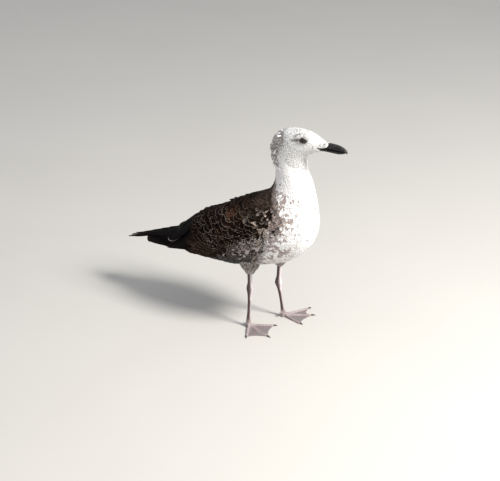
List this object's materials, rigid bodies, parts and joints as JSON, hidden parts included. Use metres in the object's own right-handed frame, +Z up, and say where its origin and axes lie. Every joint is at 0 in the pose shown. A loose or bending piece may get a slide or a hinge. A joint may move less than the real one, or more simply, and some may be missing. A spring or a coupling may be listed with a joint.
{
  "type": "immature gull",
  "caption": "Life-size young gull standing at rest on webbed feet, head raised and looking ahead, with a dark bill, brown folded wings and a white breast.",
  "frame": {"origin": "centre of the whole bird's box, on the floor under it", "axes": "+X ahead, the way the bill points; +Y to the bird's left; +Z up"},
  "size_m": [0.4476, 0.161, 0.3742],
  "materials": {
    "white_plumage": "soft matt feathers, white with faint grey streaks",
    "pale_plumage": "soft matt feathers, white with brown mottling",
    "brown_plumage": "matt blackish-brown feathers with pale fringes",
    "black_feathers": "satin black flight feathers",
    "bill_horn": "satin black horn",
    "eye_dark": "wet gloss",
    "leg_skin": "scaly skin, pale greyish pink",
    "claw_horn": "dark horn"
  },
  "bodies": {
    "root": {"bill_lower": "bill_horn", "bill_upper": "bill_horn", "claw_inner_left": "claw_horn", "claw_inner_right": "claw_horn", "claw_middle_left": "claw_horn", "claw_middle_right": "claw_horn", "claw_outer_left": "claw_horn", "claw_outer_right": "claw_horn", "eye_left": "eye_dark", "eye_right": "eye_dark", "foot_left": "leg_skin", "foot_right": "leg_skin", "head": "white_plumage", "hind_toe_left": "leg_skin", "hind_toe_right": "leg_skin", "leg_left": "leg_skin", "leg_right": "leg_skin", "neck": "white_plumage", "primaries_left": "black_feathers", "primaries_right": "black_feathers", "tail": "black_feathers", "tertials_left": "black_feathers", "tertials_right": "black_feathers", "thigh_left": "pale_plumage", "thigh_right": "pale_plumage", "trunk": "pale_plumage", "wing_left": "brown_plumage", "wing_right": "brown_plumage"}
  },
  "joints": []
}
